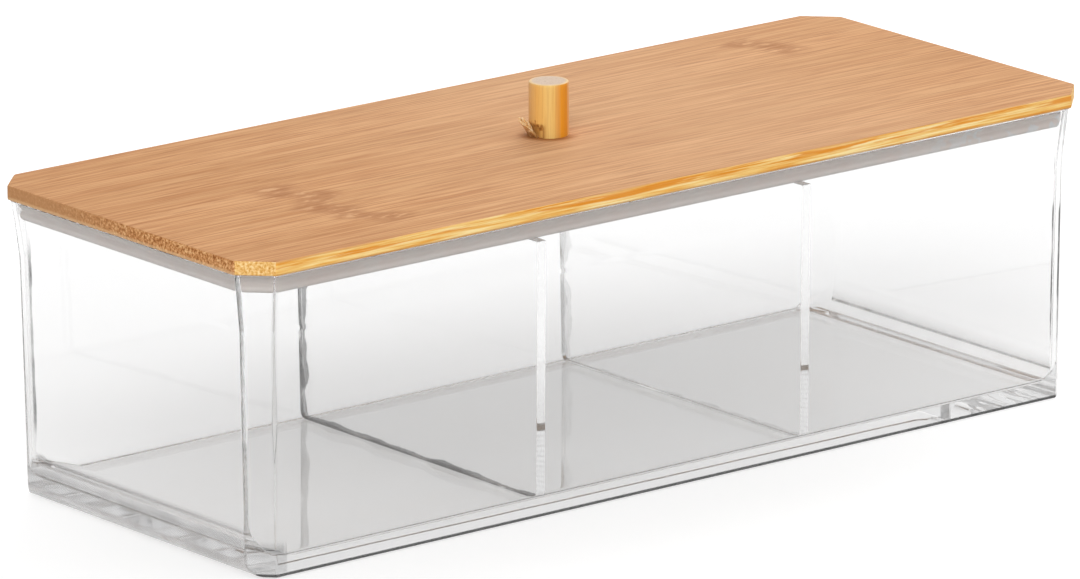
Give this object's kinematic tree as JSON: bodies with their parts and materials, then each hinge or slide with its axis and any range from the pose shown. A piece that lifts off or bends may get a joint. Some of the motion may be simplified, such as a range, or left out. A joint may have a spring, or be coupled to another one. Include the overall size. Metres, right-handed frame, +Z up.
{
  "type": "vanity organizer",
  "caption": "Long low clear plastic box with cross dividers, slanted corners and a thin bamboo lid that lifts off by a short dowel knob, for small bathroom supplies.",
  "frame": {"origin": "centre of the flat face that the tray stands on", "axes": "+X along the long side, +Y towards the rear long side, +Z up through the knob"},
  "size_m": [0.2144, 0.086, 0.0754],
  "materials": {
    "clear_plastic": "clear and glossy",
    "clear_sheet": "clear and glossy",
    "bamboo": "sanded, matt, grain along the length",
    "bamboo_plug": "sanded, matt",
    "translucent_seal": "translucent grey, satin",
    "bamboo_dowel": "sanded, matt, grain upright",
    "screw_steel": "bright zinc"
  },
  "bodies": {
    "tray_body": {"tray": "clear_plastic", "divider_left": "clear_sheet", "divider_right": "clear_sheet"},
    "lid_body": {"lid_board": "bamboo", "lid_plug": "bamboo_plug", "seal_ring": "translucent_seal", "knob": "bamboo_dowel", "knob_screw": "screw_steel"}
  },
  "joints": [
    {"name": "lid_lift", "type": "slide", "parent": "tray_body", "child": "lid_body", "axis": [0, 0, 1], "range_m": [0, 0.09]}
  ]
}
